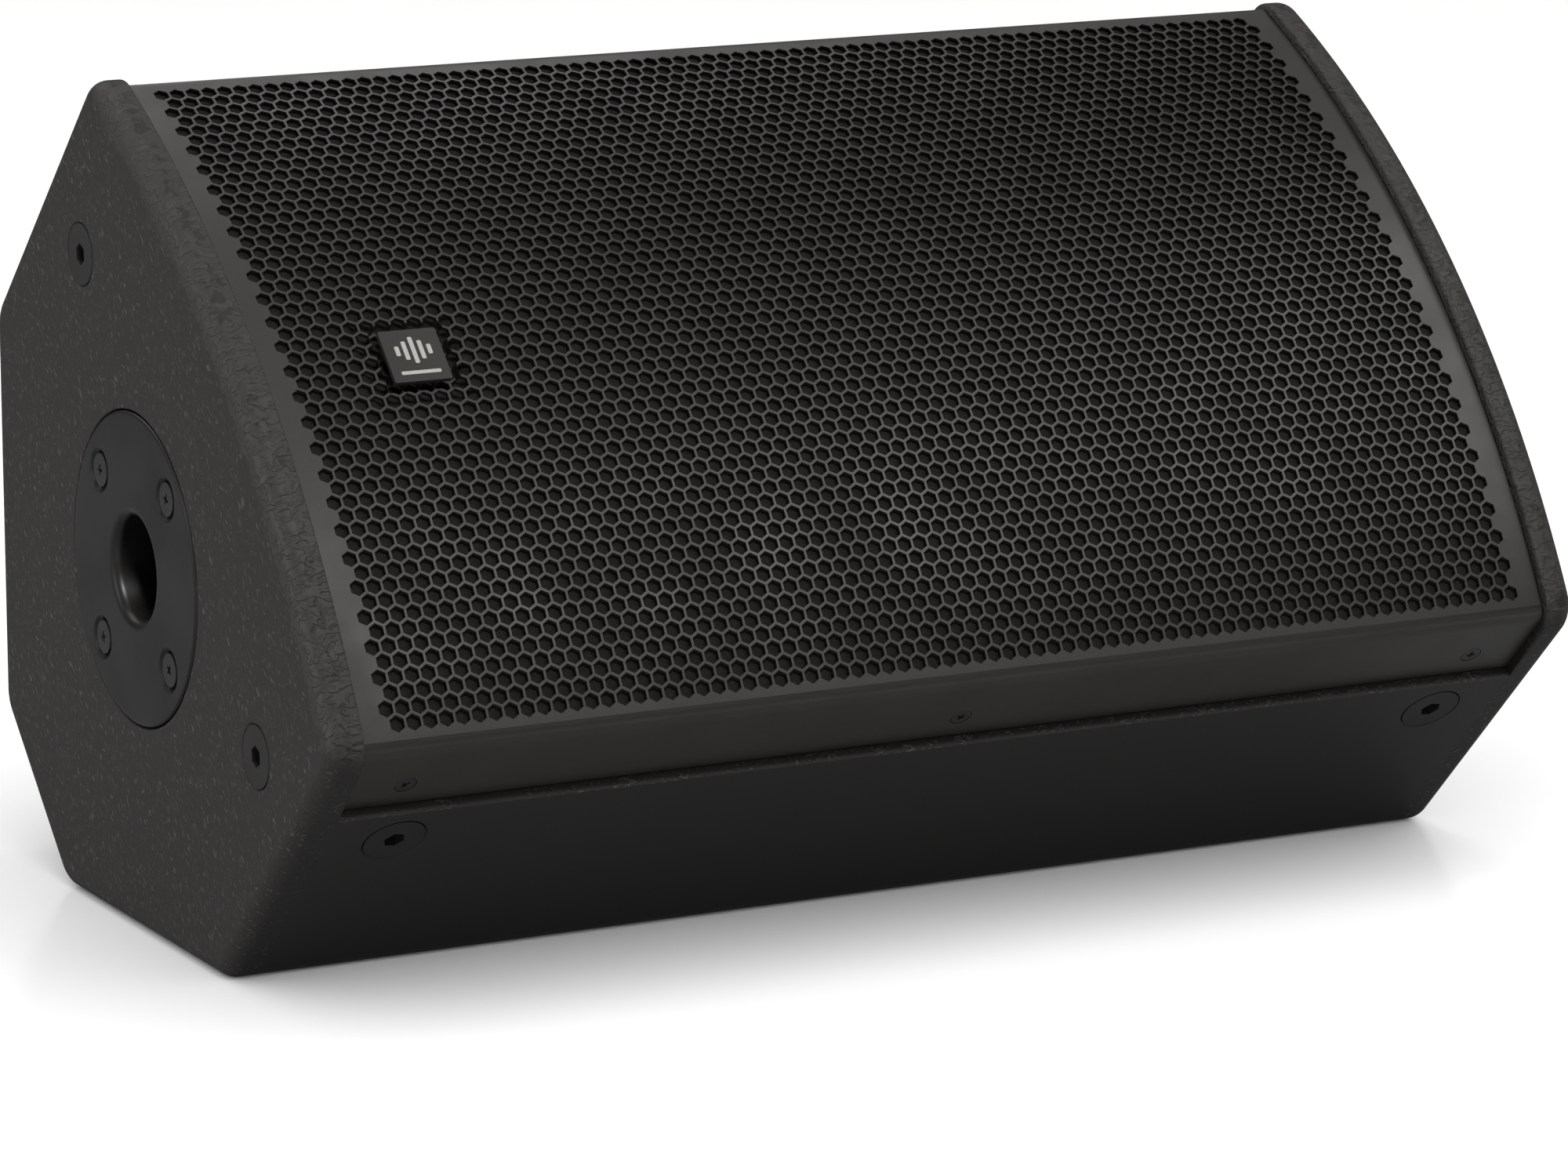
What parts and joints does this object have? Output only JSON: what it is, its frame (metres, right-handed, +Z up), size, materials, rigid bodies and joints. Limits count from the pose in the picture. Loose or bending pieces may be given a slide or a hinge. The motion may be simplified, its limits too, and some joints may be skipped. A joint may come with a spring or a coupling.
{
  "type": "stage monitor wedge",
  "caption": "Black two-way floor monitor wedge: convex perforated grille between raised end rails, 45-degree facets, pole socket in one end, plugged rigging points.",
  "frame": {"origin": "centre of the bounding box on the floor", "axes": "+X along the cabinet's length, away from the pole socket; the grille faces -Y and up; +Z up"},
  "size_m": [0.512, 0.3106, 0.3106],
  "materials": {
    "textured_coat": "black structured polyurethane coat on plywood",
    "birch_ply": "plywood, stained black on the visible face",
    "grille_steel": "dark grey satin powder coat",
    "acoustic_foam": "open-cell black foam",
    "black_steel": "black zinc with a slight sheen",
    "badge_plastic": "dark satin face with light printed bars",
    "bright_steel": "plain turned steel",
    "bush_plastic": "moulded black",
    "satin_black_metal": "smooth satin black",
    "painted_bolt": "painted over with the cabinet coat",
    "zinc_steel": "zinc plated",
    "frame_metal": "black pressed steel",
    "surround_rubber": "doped roll",
    "cone_paper": "coated pulp",
    "copper_wire": "enamelled copper winding",
    "spider_cloth": "resin-treated cloth",
    "ferrite": "dark ceramic magnet and steel",
    "horn_plastic": "moulded black",
    "socket_plastic": "moulded connector body",
    "circuit_board": "green laminate",
    "capacitor_film": "film capacitor wrap",
    "ceramic_white": "ceramic resistor body",
    "lead_red": "insulated wire",
    "wadding": "polyester felt"
  },
  "bodies": {
    "cabinet": {"left_end_panel": "textured_coat", "right_end_panel": "textured_coat", "upper_side_panel": "textured_coat", "lower_front_panel": "textured_coat", "rear_panel": "textured_coat", "base_panel": "textured_coat", "back_panel": "textured_coat", "front_baffle": "birch_ply", "corner_battens": "birch_ply", "grille": "grille_steel", "grille_foam": "acoustic_foam", "grille_screws": "black_steel", "badge_bush": "bush_plastic", "pole_cup": "satin_black_metal", "pole_cup_screws": "black_steel", "rigging_plugs": "painted_bolt", "rigging_plates": "zinc_steel", "woofer_frame": "frame_metal", "woofer_gasket": "acoustic_foam", "woofer_surround": "surround_rubber", "woofer_spider": "spider_cloth", "woofer_top_plate": "zinc_steel", "woofer_magnet": "ferrite", "woofer_pole_piece": "zinc_steel", "woofer_bolts": "black_steel", "horn_flare": "horn_plastic", "horn_screws": "black_steel", "compression_driver": "ferrite", "driver_cover": "horn_plastic", "reflex_ports": "horn_plastic", "connector_plate": "satin_black_metal", "connector_sockets": "socket_plastic", "connector_screws": "black_steel", "connector_dish": "horn_plastic", "crossover_board": "circuit_board", "board_standoffs": "zinc_steel", "crossover_inductors": "copper_wire", "crossover_capacitors": "capacitor_film", "crossover_resistors": "ceramic_white", "speaker_leads": "lead_red", "damping_wadding": "wadding"},
    "badge": {"badge_plate": "badge_plastic", "badge_spindle": "bright_steel", "badge_washer": "bright_steel"},
    "cone": {"woofer_cone": "cone_paper", "woofer_dust_cap": "cone_paper", "woofer_voice_coil": "copper_wire"}
  },
  "joints": [
    {"name": "badge_turn", "type": "hinge", "parent": "cabinet", "child": "badge", "pos_m": [-0.1842, -0.06933, 0.22224], "axis": [0, -0.7071, 0.7071], "range_deg": [-90, 0]},
    {"name": "cone_travel", "type": "slide", "parent": "cabinet", "child": "cone", "axis": [0, -0.7071, 0.7071], "range_m": [-0.005, 0.005], "stiffness_N_per_m": 2600, "deforming": ["woofer_surround", "woofer_spider"]}
  ]
}
